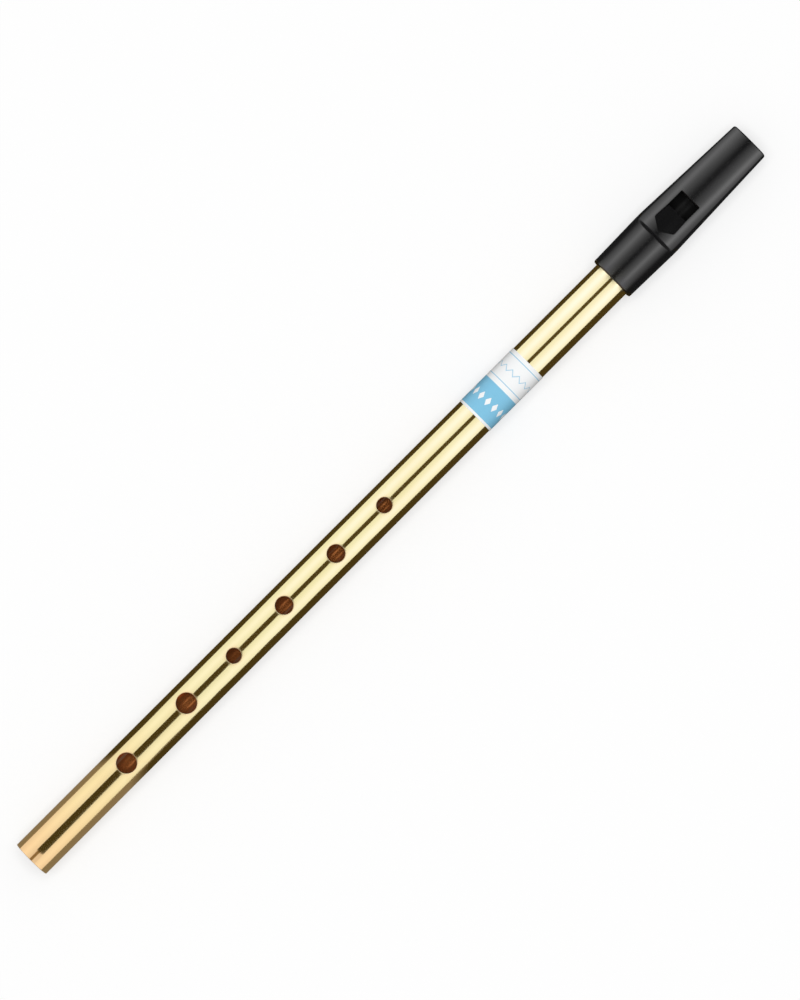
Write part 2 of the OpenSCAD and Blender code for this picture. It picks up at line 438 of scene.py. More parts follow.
# Heights of the windway's two ends, the labium and the ramp's point
EXIT_ROOF_Z = front_z(BLOCK_X, WINDWAY_HALF) - EXIT_ROOF_WALL
EXIT_FLOOR_Z = EXIT_ROOF_Z - EXIT_H
ENTRY_ROOF_Z = front_z(TIP_X, WINDWAY_HALF) - ENTRY_ROOF_WALL
ENTRY_FLOOR_Z = ENTRY_ROOF_Z - ENTRY_H
LABIUM_UNDER_Z = EXIT_FLOOR_Z + (EXIT_H - LABIUM_EDGE) / 2
LABIUM_TOP_Z = LABIUM_UNDER_Z + LABIUM_EDGE
RAMP_Z = front_z(RAMP_X, 0) - RAMP_STEP
OPENING_FLOOR_Z = LABIUM_UNDER_Z - WINDOW_SINK


def corner_steps(start, end, count):
    """Places along a rounded corner, closer together where it is steep"""
    return [mix(start, end, 1 - cos(pi / 2 * i / count)) for i in range(count + 1)]


def opening_half():
    """One side of the opening's outline, as (x, y) points from the window's end to the ramp's point"""
    corners = [
        (BLOCK_X, 0),
        (BLOCK_X, WINDOW_HALF),
        (LABIUM_X, WINDOW_HALF),
        (LABIUM_X - LEAN, WINDOW_HALF),
        (RAMP_CORNER_X, RAMP_HALF),
        (RAMP_X, 0),
    ]
    half = FRONT_COLUMNS // 2
    counts = [half, WINDOW_SEGMENTS, 1, SIDE_SEGMENTS - WINDOW_SEGMENTS - 1, half]
    points = [corners[0]]
    for (x0, y0), (x1, y1), count in zip(corners, corners[1:], counts):
        for i in range(1, count + 1):
            share = mix(i / count, (1 - cos(pi * i / count)) / 2, 0.5)
            if (x0, y0) == corners[0]:
                share = sin(pi / 2 * i / count)
            points.append((mix(x0, x1, share), mix(y0, y1, share)))
    return soften(points, corners[1], WINDOW_CORNER), corners


def soften(points, corner, reach):
    """Rounds off a corner of an outline, within a distance along its two sides"""
    at = min(range(len(points)), key=lambda i: hypot(points[i][0] - corner[0], points[i][1] - corner[1]))
    inside = [
        i
        for i, (x, y) in enumerate(points)
        if hypot(x - corner[0], y - corner[1]) < reach
    ]
    first, last = inside[0] - 1, inside[-1] + 1
    (ax, ay), (bx, by) = points[first], points[last]
    result = list(points)
    for i in inside:
        distance = hypot(points[i][0] - corner[0], points[i][1] - corner[1])
        share = (reach - distance) / (2 * reach) if i < at else (reach + distance) / (2 * reach)
        one, two, three = (1 - share) ** 2, 2 * share * (1 - share), share**2
        result[i] = (one * ax + two * corner[0] + three * bx, one * ay + two * corner[1] + three * by)
    return result


def opening_outline():
    """The outline of the window and the ramp, as a closed ring of (x, y) points"""
    half, corners = opening_half()
    half = soften(half, corners[4], RAMP_CORNER)
    ring = half + [(x, -y) for x, y in half[-2:0:-1]]
    at = len(half) - 1
    ring = ring[at // 2 :] + ring[: at // 2]
    ring = soften(ring, corners[5], RAMP_CORNER)
    turn = len(ring) - at // 2
    return ring[turn:] + ring[:turn]


def opening_bottom_z(x):
    """Height of the opening's bottom: the ramp, and a level below the labium in the window"""
    if x > LABIUM_X - LEAN / 2:
        return OPENING_FLOOR_Z
    return mix(LABIUM_TOP_Z, RAMP_Z, (LABIUM_X - x) / (LABIUM_X - RAMP_X))


def head_opening(skin, xs):
    """The beak's front round the window and the ramp, with a rounded lip, walls and a bottom"""
    middle = FRONT_COLUMNS // 2
    edge = tile_edge(xs, HEAD_ANGLES[: FRONT_COLUMNS + 1])[:-1]
    start = edge.index((xs[-1], HEAD_ANGLES[middle]))
    edge = edge[start:] + edge[:start]
    # The edge runs from the tip's side towards -Y, and the outline has to run the same way
    outline = [(x, -y) for x, y in opening_outline()]
    count = len(outline)
    outward = []
    for i, (x, y) in enumerate(outline):
        (ax, ay), (bx, by) = outline[i - 1], outline[(i + 1) % count]
        length = hypot(bx - ax, by - ay)
        outward.append(((ay - by) / length, (bx - ax) / length))

    def lip_point(i, lip, depth):
        (x, y), (nx, ny) = outline[i], outward[i]
        px, py = x + nx * lip, y + ny * lip
        return (px, py, front_z(px, py) - depth)

    rows = []
    for reach in [0, 0.3, 0.6, 0.8, 0.92, 1]:
        row = []
        for i, (x, angle) in enumerate(edge):
            rim = lip_point(i, OPENING_LIP, 0)
            rim_angle = degrees(atan2(rim[1], rim[2]))
            row.append(beak_point(mix(x, rim[0], reach), mix(angle, rim_angle, reach)))
        rows.append(row)
    for turn in steps(0, 90, LIP_STEPS)[1:]:
        bend = radians(turn)
        lip, depth = OPENING_LIP * (1 - sin(bend)), OPENING_LIP * (1 - cos(bend))
        rows.append([lip_point(i, lip, depth) for i in range(count)])
    top = rows[-1]
    for share in steps(0, 1, 4)[1:]:
        rows.append([(x, y, mix(z, opening_bottom_z(x), share)) for x, y, z in top])
    bottom = rows[-1]
    skin.patch([row + row[:1] for row in rows])

    # The bottom: rows across from one side to the other, from the window's end to the ramp's point
    end_edge = bottom[-middle:] + bottom[: middle + 1]
    widest = end_edge[-1][1]
    floor = [end_edge]
    for i in range(middle + 1, count // 2 + 1):
        x, y, z = bottom[i]
        floor.append([(x, y * point[1] / widest, z) for point in end_edge])
    skin.patch(floor)


def head_outside():
    """The head's outside, with the window and the ramp sunk into its front"""
    rounded = corner_steps(0, 1, CORNER_STEPS)
    socket = [RIM_X + RIM_ROUNDING * share for share in rounded]
    near_step = STEP_FRONT_START_X - 2 * STEP_SOFT
    socket += spans(RIM_X + RIM_ROUNDING + BESIDE, near_step, SOCKET_SPAN)
    socket += spans(near_step, OPENING_TILE_START_X, STEP_SPAN)[1:]
    tile = steps(OPENING_TILE_START_X, OPENING_TILE_END_X, SIDE_SEGMENTS)
    after = spans(OPENING_TILE_END_X, TIP_X - TIP_ROUNDING - BESIDE, BEAK_SPAN)
    after += [TIP_X - TIP_ROUNDING * share for share in rounded[::-1]]
    skin = Skin()
    rows = [[round_point(x, angle, shoulder_r(x, angle)) for angle in HEAD_ANGLES] for x in socket]
    skin.patch(rows)
    skin.patch([[beak_point(x, angle) for angle in HEAD_ANGLES[FRONT_COLUMNS:]] for x in tile])
    head_opening(skin, tile)
    skin.cap(rows[0])
    rows = [[beak_point(x, angle) for angle in HEAD_ANGLES] for x in after]
    skin.patch(rows)
    skin.cap(rows[-1])
    return skin.make("moulded_head")


def air_space():
    """The socket, the tube's stop and the air chamber, whose ceiling slopes down to the labium"""
    outline = [
        (RIM_X - CUT_PAST, SOCKET_R + SOCKET_CHAMFER + CUT_PAST),
        (RIM_X + SOCKET_CHAMFER, SOCKET_R),
        (TUBE_END_X, SOCKET_R),
        (TUBE_END_X + LEAN, CHAMBER_R),
    ]
    draft = (CHAMBER_R - CHAMBER_END_R) / (BLOCK_X - TUBE_END_X)
    for x in (RAMP_X, LABIUM_X - LEAN, LABIUM_X, BLOCK_X):
        outline.append((x, CHAMBER_R - draft * (x - TUBE_END_X)))
    angles = steps(0, 360, AIR_COLUMNS)
    rows = []
    for x, r in outline:
        ceiling = 2 * SOCKET_R
        if RAMP_X <= x < LABIUM_X:
            ceiling = mix(RAMP_Z - RAMP_WALL, LABIUM_UNDER_Z, (x - RAMP_X) / (LABIUM_X - RAMP_X))
        row = [round_point(x, angle, r) for angle in angles]
        rows.append([(px, py, min(pz, ceiling)) for px, py, pz in row])
    skin = Skin()
    skin.patch(rows)
    skin.cap(rows[0])
    skin.cap(rows[-1])
    return skin.make("air_space")


def windway():
    """The windway over the fipple block, with a small chamfer where the player blows"""
    chamfer, sunk = 0.2, 0.2
    slope = 1 / (TIP_X - BLOCK_X)
    rows = []
    places = ((BLOCK_X - CUT_OVERLAP, 0), (TIP_X - chamfer, 0), (TIP_X + CUT_PAST, chamfer + CUT_PAST))
    for x, flare in places:
        share = (min(x, TIP_X) - BLOCK_X) * slope
        roof = mix(EXIT_ROOF_Z, ENTRY_ROOF_Z, share) + flare
        floor = mix(EXIT_FLOOR_Z, ENTRY_FLOOR_Z, share) - sunk
        side = WINDWAY_HALF + flare
        corners = [(-side, floor), (side, floor), (side, roof), (-side, roof), (-side, floor)]
        rows.append([(x, y, z) for y, z in corners])
    skin = Skin()
    skin.patch(rows)
    skin.cap(rows[0])
    skin.cap(rows[-1])
    return skin.make("windway")


def block_rows(ends, r, bottom, softness):
    """Rings of points round a rod with a flat bottom and the windway's floor as its top"""
    low = degrees(acos(bottom / r))
    rows = []
    for x, inset in ends:
        share = (x - BLOCK_X) / (TIP_X - BLOCK_X)
        top = mix(EXIT_FLOOR_Z, ENTRY_FLOOR_Z, share)
        high = degrees(acos(top / r))
        corners = (-high, high, low, 360 - low, 360 - high)
        angles = [-high]
        for start, end in zip(corners, corners[1:]):
            angles += steps(start, end, BLOCK_COLUMNS)[1:]
        row = []
        for angle in angles:
            up = cos(radians(angle))
            reach = r
            if abs(up) > 0.01:
                reach = smooth_least(r, (top if up > 0 else bottom) / up, softness)
            row.append(round_point(x, angle, reach - inset))
        rows.append(row)
    return rows


def block_space():
    """The space in the beak that the fipple block fills"""
    gap, corner = 0.03, 0.01
    xs = spans(BLOCK_X - CUT_OVERLAP, TIP_X + CUT_PAST, BLOCK_SPACE_SPAN)
    rows = block_rows([(x, 0) for x in xs], BLOCK_R + gap, BLOCK_BOTTOM_Z - gap, corner)
    skin = Skin()
    skin.patch(rows)
    skin.cap(rows[0])
    skin.cap(rows[-1])
    return skin.make("block_space")


def moulded_head():
    head = head_outside()
    cut(head, [air_space(), windway(), block_space()])
    smooth(head.data, 35)
    return head


def fipple_block():
    soft, corner = 0.15, 0.3
    rounded = corner_steps(0, 1, LIP_STEPS)
    ends = [(BLOCK_X + soft * share, rounding(soft * share, soft)) for share in rounded]
    ends += [(x, 0) for x in spans(BLOCK_X + soft, TIP_X - soft, BLOCK_SPAN)[1:-1]]
    ends += [(TIP_X - soft * share, rounding(soft * share, soft)) for share in rounded[::-1]]
    rows = block_rows(ends, BLOCK_R, BLOCK_BOTTOM_Z, corner)
    skin = Skin()
    skin.patch(rows)
    skin.cap(rows[0])
    skin.cap(rows[-1])
    return skin.make("windway_block")


# Label

LABEL_ROWS, LABEL_COLUMNS = 24, 160
LABEL_CORNER_STEPS = 8


def wrap_label():
    """A thin film wrapped round the tube, with rounded corners and its two ends at the back"""
    seam_half = degrees(LABEL_SEAM / 2 / LABEL_R)
    angles = [seam_half - 180 + turn for turn in label_turns(360 - 2 * seam_half)]
    middle_x = (LABEL_X + LABEL_END_X) / 2
    half = (LABEL_END_X - LABEL_X) / 2
    # The film's section, as (share of its half length, inset from its edge, radius)
    inner_r = LABEL_R - LABEL_FILM
    section = [(-1, 0, inner_r), (-1, 0, LABEL_R - LABEL_LIP), (-1, LABEL_LIP, LABEL_R)]
    section += [(share, 0, LABEL_R) for share in steps(-1, 1, LABEL_ROWS)[1:-1]]
    section += [(1, LABEL_LIP, LABEL_R), (1, 0, LABEL_R - LABEL_LIP), (1, 0, inner_r)]
    section += [(share, 0, inner_r) for share in steps(1, -1, LABEL_ROWS)[1:]]
    rows = []
    for angle in angles:
        from_end = radians(180 - seam_half - abs(angle)) * LABEL_R
        reach = half - rounding(from_end, LABEL_CORNER_R)
        row = []
        for share, inset, r in section:
            x = middle_x + share * (reach - inset)
            row.append(round_point(x, angle, r))
        rows.append(row)
    skin = Skin()
    skin.patch(rows)
    skin.cap(rows[0])
    skin.cap(rows[-1])
    return skin.make("wrap_label")


def label_turns(whole):
    """Angles from one end of the label to the other, closer together at its rounded corners"""
    corner = degrees(LABEL_CORNER_R / LABEL_R)
    start = [corner * share for share in corner_steps(0, 1, LABEL_CORNER_STEPS)]
    middle = steps(corner, whole - corner, LABEL_COLUMNS)[1:]
    return start + middle + [whole - angle for angle in start[-2::-1]]


# Materials


def add(tree, kind, inputs=None, **settings):
    """A new shader node. An input is a number, a colour, or another node's output to link to it"""
    node = tree.nodes.new(kind)
    for key, value in settings.items():
        setattr(node, key, value)
    for socket, value in (inputs or {}).items():
        if isinstance(value, bpy.types.NodeSocket):
            tree.links.new(value, node.inputs[socket])
        else:
            node.inputs[socket].default_value = value
    return node


def new_material(name):
    material = bpy.data.materials.new(name)
    material.use_nodes = True
    return material, material.node_tree, material.node_tree.nodes["Principled BSDF"]


def math_node(tree, operation, a, b=0.0, clamp=False):
    return add(tree, "ShaderNodeMath", {0: a, 1: b}, operation=operation, use_clamp=clamp).outputs[0]


def blend_colours(tree, share, a, b):
    node = add(tree, "ShaderNodeMix", {0: share, 6: a, 7: b}, data_type="RGBA")
    return node.outputs[2]


def remap(tree, value, low, high, to_low, to_high):
    node = add(tree, "ShaderNodeMapRange", {0: value, 1: low, 2: high, 3: to_low, 4: to_high})
    return node.outputs[0]


def noise(tree, scale, detail=2.0, roughness=0.5):
    """Noise in the object's own space. The scale is repeats for each metre along X, Y and Z"""
    place = add(tree, "ShaderNodeTexCoord").outputs["Object"]
    stretched = add(tree, "ShaderNodeMapping", {"Vector": place, "Scale": scale}).outputs[0]
    inputs = {"Vector": stretched, "Scale": 1.0, "Detail": detail, "Roughness": roughness}
    return add(tree, "ShaderNodeTexNoise", inputs).outputs[0]


def mark(tree, name):
    """A mark that the mesh holds for each point"""
    return add(tree, "ShaderNodeAttribute", attribute_name=name).outputs["Fac"]


def brass_material():
    material, tree, shader = new_material("polished_brass")
    drawn = noise(tree, (45, 6500, 6500), 3)
    streaks = noise(tree, (14, 800, 800))
    patches = noise(tree, (55, 120, 120), 3)
    inside, rim = mark(tree, "inside"), mark(tree, "rim")
    tone = remap(tree, patches, 0.3, 0.7, 0, 1)
    colour = blend_colours(tree, tone, (0.945, 0.86, 0.565, 1), (0.93, 0.83, 0.52, 1))
    colour = blend_colours(tree, math_node(tree, "MULTIPLY", rim, 0.35), colour, (0.90, 0.70, 0.42, 1))
    bore = blend_colours(tree, tone, (0.64, 0.23, 0.065, 1), (0.56, 0.18, 0.048, 1))
    lines = remap(tree, noise(tree, (9, 620, 620), 1), 0.54, 0.62, 0, 0.6)
    bore = blend_colours(tree, lines, bore, (0.85, 0.55, 0.36, 1))
    colour = blend_colours(tree, inside, colour, bore)
    tree.links.new(colour, shader.inputs["Base Color"])
    tree.links.new(remap(tree, inside, 0, 1, 1, 0.6), shader.inputs["Metallic"])
    polish = remap(tree, streaks, 0.3, 0.7, 0.07, 0.12)
    handled = math_node(tree, "MULTIPLY", remap(tree, patches, 0.55, 0.75, 0, 0.05), streaks)
    polish = math_node(tree, "ADD", polish, handled)
    polish = math_node(tree, "ADD", polish, math_node(tree, "MULTIPLY", inside, 0.06))
    polish = math_node(tree, "ADD", polish, math_node(tree, "MULTIPLY", rim, 0.25))
    tree.links.new(polish, shader.inputs["Roughness"])
    height = math_node(tree, "ADD", drawn, math_node(tree, "MULTIPLY", streaks, 2.0))
    bump = add(tree, "ShaderNodeBump", {"Strength": 0.12, "Distance": 0.006 * MM, "Height": height})
    tree.links.new(bump.outputs[0], shader.inputs["Normal"])
    return material


def head_inside(tree):
    """1 on the walls of the head's chamber and socket below the labium, and 0 on its outside"""
    place = add(tree, "ShaderNodeTexCoord").outputs["Object"]
    parts = add(tree, "ShaderNodeSeparateXYZ", {0: place}).outputs
    across = add(tree, "ShaderNodeCombineXYZ", {1: parts["Y"], 2: parts["Z"]}).outputs[0]
    r = add(tree, "ShaderNodeVectorMath", {0: across}, operation="LENGTH").outputs["Value"]
    near_axis = math_node(tree, "LESS_THAN", r, (SOCKET_R + 0.3) * MM)
    low = math_node(tree, "LESS_THAN", parts["Z"], LABIUM_UNDER_Z * MM)
    before = math_node(tree, "LESS_THAN", parts["X"], (BLOCK_X + 0.01) * MM)
    return math_node(tree, "MULTIPLY", math_node(tree, "MULTIPLY", near_axis, low), before)


def plastic_material(name, dark, light, satin, grain_depth, gloss, matt=None):
    """Moulded plastic with a fine grain, flow marks and a few scuffs. Where matt is 1 it has little gloss"""
    material, tree, shader = new_material(name)
    grain = noise(tree, (5200, 5200, 5200), 2)
    flow = noise(tree, (60, 420, 420), 3)
    scuffs = noise(tree, (900, 2600, 2600), 4, 0.7)
    colour = blend_colours(tree, remap(tree, flow, 0.3, 0.7, 0, 1), dark, light)
    rough = remap(tree, flow, 0.3, 0.7, satin - 0.03, satin + 0.03)
    rough = math_node(tree, "ADD", rough, remap(tree, scuffs, 0.62, 0.8, 0, 0.12))
    shader.inputs["Specular IOR Level"].default_value = gloss
    if matt:
        share = matt(tree)
        colour = blend_colours(tree, share, colour, (0.009, 0.009, 0.009, 1))
        tree.links.new(remap(tree, share, 0, 1, gloss, 0.2), shader.inputs["Specular IOR Level"])
    tree.links.new(colour, shader.inputs["Base Color"])
    tree.links.new(rough, shader.inputs["Roughness"])
    height = math_node(tree, "ADD", grain, math_node(tree, "MULTIPLY", scuffs, 0.6))
    bump = add(tree, "ShaderNodeBump", {"Strength": 0.25, "Distance": grain_depth * MM, "Height": height})
    tree.links.new(bump.outputs[0], shader.inputs["Normal"])
    return material


def label_material():
    """A printed film: a blue field with white lozenges, and a white one with a blue zigzag"""
    material, tree, shader = new_material("label_film")
    place = add(tree, "ShaderNodeTexCoord").outputs["Object"]
    parts = add(tree, "ShaderNodeSeparateXYZ", {0: place}).outputs
    along = parts["X"]
    turn = math_node(tree, "ARCTAN2", parts["Y"], parts["Z"])
    repeats = 14
    wave = math_node(tree, "PINGPONG", math_node(tree, "MULTIPLY", turn, repeats / pi), 1.0)

    def field(low, high):
        """1 between two places along the whistle, with a soft edge of a few hundredths of a millimetre"""
        soft = 0.03 * MM
        above = remap(tree, along, low * MM - soft, low * MM + soft, 0, 1)
        below = remap(tree, along, high * MM - soft, high * MM + soft, 1, 0)
        return math_node(tree, "MULTIPLY", above, below)

    border, blue_length = 0.8, 10.85
    blue = field(LABEL_X + border, LABEL_X + blue_length)
    # Lozenges: one in each repeat, where the distances along and round the tube add up to less than one
    lozenge_x, lozenge_half, lozenge_width = LABEL_X + 5.6, 1.5, 0.62
    off = math_node(tree, "DIVIDE", math_node(tree, "SUBTRACT", along, lozenge_x * MM), lozenge_half * MM)
    off_middle = math_node(tree, "DIVIDE", wave, lozenge_width)
    reach = math_node(tree, "ADD", math_node(tree, "ABSOLUTE", off), off_middle)
    lozenge = remap(tree, reach, 0.97, 1.03, 1, 0)
    # A zigzag between two straight lines on the white field
    zigzag_x, zigzag_rise, zigzag_half, zigzag_soft = LABEL_X + 16.4, 1.5, 0.16, 0.06
    first_line_x, second_line_x, line_width = LABEL_X + 12.4, LABEL_X + 20.2, 0.3
    line_ink = 0.75
    crest = math_node(tree, "MULTIPLY_ADD", wave, zigzag_rise * MM)
    crest.node.inputs[2].default_value = (zigzag_x - zigzag_rise / 2) * MM
    away = math_node(tree, "ABSOLUTE", math_node(tree, "SUBTRACT", along, crest))
    zigzag = remap(tree, away, zigzag_half * MM, (zigzag_half + zigzag_soft) * MM, 1, 0)
    first_line = field(first_line_x, first_line_x + line_width)
    second_line = field(second_line_x, second_line_x + line_width)
    lines = math_node(tree, "MAXIMUM", zigzag, math_node(tree, "MAXIMUM", first_line, second_line))
    print_on_white = math_node(tree, "MULTIPLY", lines, line_ink)
    fibre = noise(tree, (2600, 2600, 2600), 3)
    white = blend_colours(tree, fibre, (0.93, 0.94, 0.945, 1), (0.90, 0.915, 0.92, 1))
    ink = blend_colours(tree, fibre, (0.20, 0.52, 0.74, 1), (0.225, 0.56, 0.77, 1))
    on_blue = math_node(tree, "MULTIPLY", blue, math_node(tree, "SUBTRACT", 1.0, lozenge))
    on_white = math_node(tree, "MULTIPLY", math_node(tree, "SUBTRACT", 1.0, blue), print_on_white)
    inked = math_node(tree, "MAXIMUM", on_blue, on_white)
    tree.links.new(blend_colours(tree, inked, white, ink), shader.inputs["Base Color"])
    gloss = remap(tree, noise(tree, (400, 400, 400)), 0.3, 0.7, 0.30, 0.38)
    tree.links.new(gloss, shader.inputs["Roughness"])
    bump = add(tree, "ShaderNodeBump", {"Strength": 0.1, "Distance": 0.01 * MM, "Height": fibre})
    tree.links.new(bump.outputs[0], shader.inputs["Normal"])
    return material


def place_piece(piece, material, body, node):
    """Gives a piece its material, and puts it in the frame in the place of a CAD node"""
    piece.data.materials.clear()
    piece.data.materials.append(material)
    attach(piece, body)
    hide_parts(node)


head_plastic = plastic_material(
    "black_plastic", (0.0052, 0.0052, 0.0055, 1), (0.0068, 0.0068, 0.0071, 1), 0.20, 0.010, 0.9, head_inside
)
block_plastic = plastic_material(
    "block_plastic", (0.016, 0.016, 0.017, 1), (0.021, 0.021, 0.022, 1), 0.55, 0.02, 0.5
)
place_piece(brass_tube(), brass_material(), "tube", "body_tube")
place_piece(moulded_head(), head_plastic, "head", "mouthpiece")
place_piece(fipple_block(), block_plastic, "head", "fipple_block")
place_piece(wrap_label(), label_material(), "tube", "label_sticker")


# Stage: a white floor and a soft lamp, with a light tent and dark flags that only reflections show

TENT_R = 900
TENT_START_X, TENT_END_X = -700, 660
# The stretch of the tent that the tube shows in the picture has its points closer together
FINE_START_X, FINE_END_X = -70, 400
TENT_SPAN, FINE_SPAN = 90, 6
TENT_COLUMNS = 20
# The tent's light is strongest at one angle, and falls to a share of that away from it
HOT_ANGLE, HOT_WIDTH = 54, 26
AWAY_LEVEL = 0.84
# Angle at which the tent reaches the floor on the +Y side
FLOOR_ANGLE = 90.4 + CAMERA_ROLL
DARK_BROWN = (0.065, 0.043, 0.011)
TAN = (0.26, 0.19, 0.12)
# Where the dark lines along the tube change from tan to dark brown, in the tent and on the floor
TENT_CHANGE_X = (-15, -2)
RIGHT_CHANGE_X = (34, 42)
LEFT_CHANGE_X = (31.6, 36.6)


def glow_material(name):
    """A plain light, of the colours that the mesh holds"""
    material = bpy.data.materials.new(name)
    material.use_nodes = True
    tree = material.node_tree
    tree.nodes.remove(tree.nodes["Principled BSDF"])
    stored = add(tree, "ShaderNodeAttribute", attribute_name="glow")
    light = add(tree, "ShaderNodeEmission", {"Color": stored.outputs["Color"]})
    tree.links.new(light.outputs[0], tree.nodes["Material Output"].inputs["Surface"])
    return material


def stage_piece(name, rows, colours):
    """A glowing stage surface that only reflections show, from rows of points and of their colours"""
    skin = Skin()
    skin.patch(rows)
    mesh = bpy.data.meshes.new(name)
    mesh.from_pydata([[value * MM for value in point] for point in skin.points], [], skin.faces)
    glow = mesh.color_attributes.new("glow", "FLOAT_COLOR", "POINT")
    for item, colour in zip(glow.data, [colour for row in colours for colour in row]):
        item.color = (*colour, 1)
    material = glow_material(name)
    material.cycles.emission_sampling = "NONE"
    mesh.materials.append(material)
    piece = bpy.data.objects.new(name, mesh)
    piece.visible_camera = False
    piece.visible_diffuse = False
    piece.visible_transmission = False
    piece.visible_shadow = False
    bpy.context.scene.collection.objects.link(piece)


def tent_glow(x, angle):
    """Colour of the tent's light, at a place along it and an angle from its middle"""
    red = between(x, (-70, 1.06), (20, 1.05), (270, 1.17))
    green = between(x, (-70, 0.76), (-30, 0.93), (20, 1.04), (270, 1.17))
    blue = between(x, (-70, 0.62), (-30, 0.73), (20, 0.95), (150, 1.2), (270, 1.4))
    hot = exp(-(((angle - HOT_ANGLE) / HOT_WIDTH) ** 2))
    blue_fall = between(x, (-20, 0.16), (110, 0.36))
    level = mix(AWAY_LEVEL, 1, hot)
    return [red * level, green * level, blue * (1 - blue_fall * (1 - hot))]


def edge_tone(x, start, end):
    """Colour of the dark lines along the tube's edges: tan up to start, and dark brown from end on"""
    share = between(x, (start, 0), (end, 1))
    return [mix(tan, brown, share) for tan, brown in zip(TAN, DARK_BROWN)]


def soft_box(name, side, inner, outer):
    """One side of the tent: side is 1 towards +Y and -1 towards -Y, and inner and outer give its edges"""
    rows, colours = [], []
    xs = spans(TENT_START_X, FINE_START_X, TENT_SPAN)
    xs += spans(FINE_START_X, FINE_END_X, FINE_SPAN)[1:]
    xs += spans(FINE_END_X, TENT_END_X, TENT_SPAN)[1:]
    for x in xs:
        angles = steps(inner(x), outer(x), TENT_COLUMNS)
        low = [outer(x) + 0.01, max(outer(x) + 0.02, FLOOR_ANGLE)]
        rows.append([round_point(x, side * angle - CAMERA_ROLL, TENT_R) for angle in angles + low])
        dark = [edge_tone(x, *TENT_CHANGE_X)] * len(low)
        colours.append([tent_glow(x, angle) for angle in angles] + dark)
    stage_piece(name, rows, colours)


def left_slit(x):
    """Angle of the tent's upper edge on the +Y side"""
    return between(x, (60, 16.3), (100, 14.6), (160, 13.2), (230, 10.6), (270, 9.9))


def right_slit(x):
    """Angle of the tent's upper edge on the -Y side"""
    return between(x, (-60, 28), (-36, 23.8), (10, 17.6), (68, 11.2), (110, 9.0), (270, 8.2))


def right_foot(x):
    """Angle of the tent's lower edge on the -Y side"""
    return between(x, (-50, 90.3), (10, 81.5), (130, 85.4), (160, 88.5))


soft_box("soft_box_left", 1, left_slit, lambda x: FLOOR_ANGLE)
soft_box("soft_box_right", -1, right_slit, right_foot)

# Flags: over the tent, and on the floor beside the whistle
FLAG_FAR_X, FLAG_START_X, FLAG_END_X = -200, 27, 420
flag_z = LOWEST_Z + 0.1


def ceiling():
    """Over the tent, dark at the foot's end and less so at the head's"""
    height, half = 2500, 1600
    levels = ((-2500, 1), (-100, 1), (200, 1.4), (330, 1.55), (3000, 1.55))
    rows = [[(x, y, height) for y in (-half, half)] for x, level in levels]
    colours = [[[value * level for value in DARK_BROWN]] * 2 for x, level in levels]
    stage_piece("ceiling_flag", rows, colours)


def right_floor():
    """Beside the whistle on the -Y side"""
    width = 700
    xs = (FLAG_FAR_X, *steps(*RIGHT_CHANGE_X, 2), FLAG_END_X)
    rows = [[(x, y, flag_z) for y in (-width, 0)] for x in xs]
    stage_piece("flag_right", rows, [[edge_tone(x, *RIGHT_CHANGE_X)] * 2 for x in xs])


def left_floor():
    """Beside the whistle on the +Y side: a dark strip, then the tent's glow carried on across the floor"""
    foot_width, bend_x = 104, 45
    foot, dark = [], []
    for x in spans(FLAG_FAR_X, FLAG_START_X, 30):
        foot.append([(x, 0, flag_z), (x, foot_width, flag_z)])
    for x in spans(FLAG_START_X, bend_x, 2) + spans(bend_x, FLAG_END_X, 12)[1:]:
        edge = between(x, (FLAG_START_X, 420), (55, 130), (110, 70), (210, 52))
        dark.append([(x, 0, flag_z), (x, edge, flag_z)])
    glow, colours = [], []
    for x, y, z in [row[1] for row in foot + dark]:
        glow.append([(x, y, z), (x, TENT_R, z)])
        reflected_x = x + (x - CAMERA_AIM_X) * TENT_R / CAMERA_DISTANCE
        colours.append([tent_glow(reflected_x, 90)] * 2)
    stage_piece("flag_foot_left", foot, [[TAN] * 2] * len(foot))
    stage_piece("flag_left", dark, [[edge_tone(x, *LEFT_CHANGE_X)] * 2 for (x, _, _), _ in dark])
    stage_piece("floor_glow", glow, colours)


ceiling()
right_floor()
left_floor()

# Small tents over the socket and the beak, with one bright stripe on each side.
# Stripes are (angle from the middle, brightness) pairs, first those on the +Y side.
# The floors inside the tents are (y, brightness) pairs, and the end of the beak's is (z, brightness) pairs
TENT_LOW = 105
SOCKET_TENT_R, BEAK_TENT_R = 45, 90
BEAK_TENT_END_X = 316
SOCKET_TENT_X, BEAK_TENT_X = (239.2, 257.5), (258, BEAK_TENT_END_X)
LEFT_OF_SOCKET = (
    (2, 0.03), (26, 0.55), (43, 1.15), (52, 1.6), (61, 1.18), (82, 0.57), (100, 0.08),
)
RIGHT_OF_SOCKET = (
    (2, 0.03), (15, 0.45), (31, 0.9), (39, 1.4), (44, 1.9), (48, 1.5), (57, 0.95), (67, 0.66), (90, 0.05),
)
LEFT_OF_BEAK = (
    (2, 0.02), (9, 0.13), (36, 0.76), (45, 1.18), (55, 1.75), (66, 1.02), (76, 0.68), (90, 0.42),
)
RIGHT_OF_BEAK = (
    (2, 0.02), (18, 0.43), (36, 0.84), (43, 1.4), (50, 2.3), (60, 1.08), (66, 0.8), (86, 0.3),
)
SOCKET_FLOOR = ((-47, 0.03), (20, 0.03), (32, 0.05), (47, 0.08))
BEAK_FLOOR = ((-92, 0.03), (30, 0.04), (45, 0.25), (60, 0.36), (92, 0.4))
BEAK_END = ((flag_z, 0.15), (30, 0.15), (45, 0.03), (BEAK_TENT_R, 0.02))


def beak_tip(x, angle):
    """How much brighter the upper part of the light gets towards the beak's tip"""
    most = between(x, (290, 1), (306, 1.4 if angle > 0 else 1.25))
    return between(abs(angle), (36, most), (52, 1))


